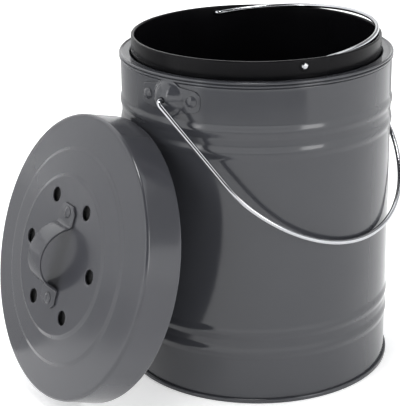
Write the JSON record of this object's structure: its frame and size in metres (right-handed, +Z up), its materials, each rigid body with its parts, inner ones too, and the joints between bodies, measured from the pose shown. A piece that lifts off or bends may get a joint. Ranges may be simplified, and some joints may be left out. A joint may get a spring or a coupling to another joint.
{
  "type": "compost pail",
  "caption": "Cylindrical countertop compost pail with a wire carrying handle, a lift-out liner with its own wire handle, and a lift-off vented lid leaning beside it.",
  "frame": {"origin": "centre of the pail's base, on the plane that it stands on", "axes": "+Z up, out of the pail's mouth; the carrying handle's pivots lie on a line along Y and the handle hangs towards +X"},
  "size_m": [0.2413, 0.2825, 0.2403],
  "materials": {
    "enamel": "glossy mid-grey powder coat over rolled steel sheet",
    "black_plastic": "moulded black polypropylene, satin",
    "polished_wire": "polished steel wire",
    "plain_steel": "plain sheet steel",
    "carbon_felt": "charcoal-loaded felt"
  },
  "bodies": {
    "pail": {"pail_wall": "enamel", "rim_ring": "enamel", "base_plate": "enamel", "ear_right": "enamel", "ear_left": "enamel", "ear_rivets_right": "enamel", "ear_rivets_left": "enamel"},
    "handle": {"carrying_handle": "polished_wire"},
    "liner_bucket": {"liner": "black_plastic"},
    "liner_bail": {"liner_handle": "polished_wire"},
    "lid": {"lid_shell": "enamel", "lid_handle": "enamel", "lid_rivets": "enamel", "filter_collar": "plain_steel"},
    "filter": {"filter_pad": "carbon_felt"}
  },
  "joints": [
    {"name": "handle_swing", "type": "hinge", "parent": "pail", "child": "handle", "pos_m": [0, 0, 0.2085], "axis": [0, -1, 0], "range_deg": [0, 225]},
    {"name": "liner_lift", "type": "slide", "parent": "pail", "child": "liner_bucket", "axis": [0, 0, 1], "range_m": [0, 0.24]},
    {"name": "liner_handle_swing", "type": "hinge", "parent": "liner_bucket", "child": "liner_bail", "pos_m": [0, 0, 0.2307], "axis": [0.848, -0.5299, 0], "range_deg": [0, 168]},
    {"name": "lid_lift", "type": "slide", "parent": "pail", "child": "lid", "axis": [-0.2974, -0.9099, 0.289], "range_m": [0, 0.25]},
    {"name": "filter_pull", "type": "slide", "parent": "lid", "child": "filter", "axis": [0.2974, 0.9099, -0.289], "range_m": [0, 0.03]}
  ]
}
